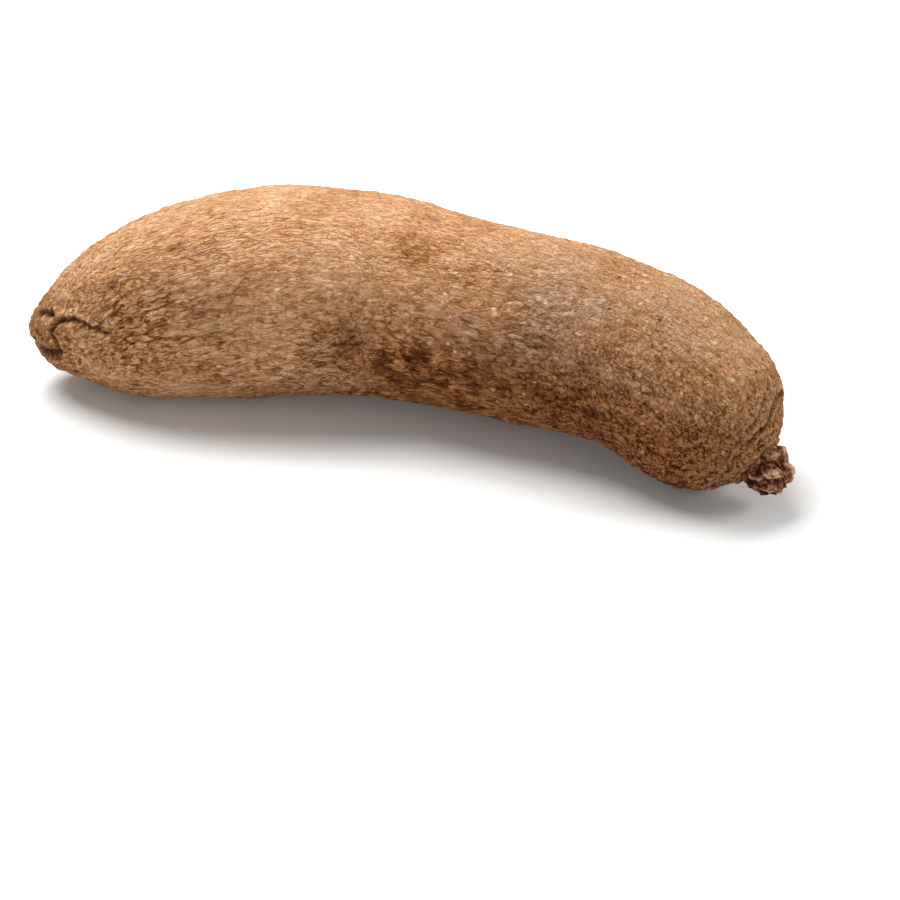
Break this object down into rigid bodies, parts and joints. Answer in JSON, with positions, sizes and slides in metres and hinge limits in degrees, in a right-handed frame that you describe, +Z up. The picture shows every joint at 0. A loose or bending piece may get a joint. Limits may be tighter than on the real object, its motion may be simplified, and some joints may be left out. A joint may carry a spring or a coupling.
{
  "type": "yam",
  "caption": "Whole white yam: one long, gently bent tuber with rough brown bark, a tapered tail end and a corky crown, lying on its side.",
  "frame": {"origin": "on the surface that the yam lies on, under the middle of its box", "axes": "+Z up, +X from the tapered tail end to the crown end, whose bend leans towards -Y"},
  "size_m": [0.3132, 0.1524, 0.0865],
  "materials": {
    "bark": "rough dry bark, matte"
  },
  "bodies": {
    "root": {"tuber": "bark"}
  },
  "joints": []
}
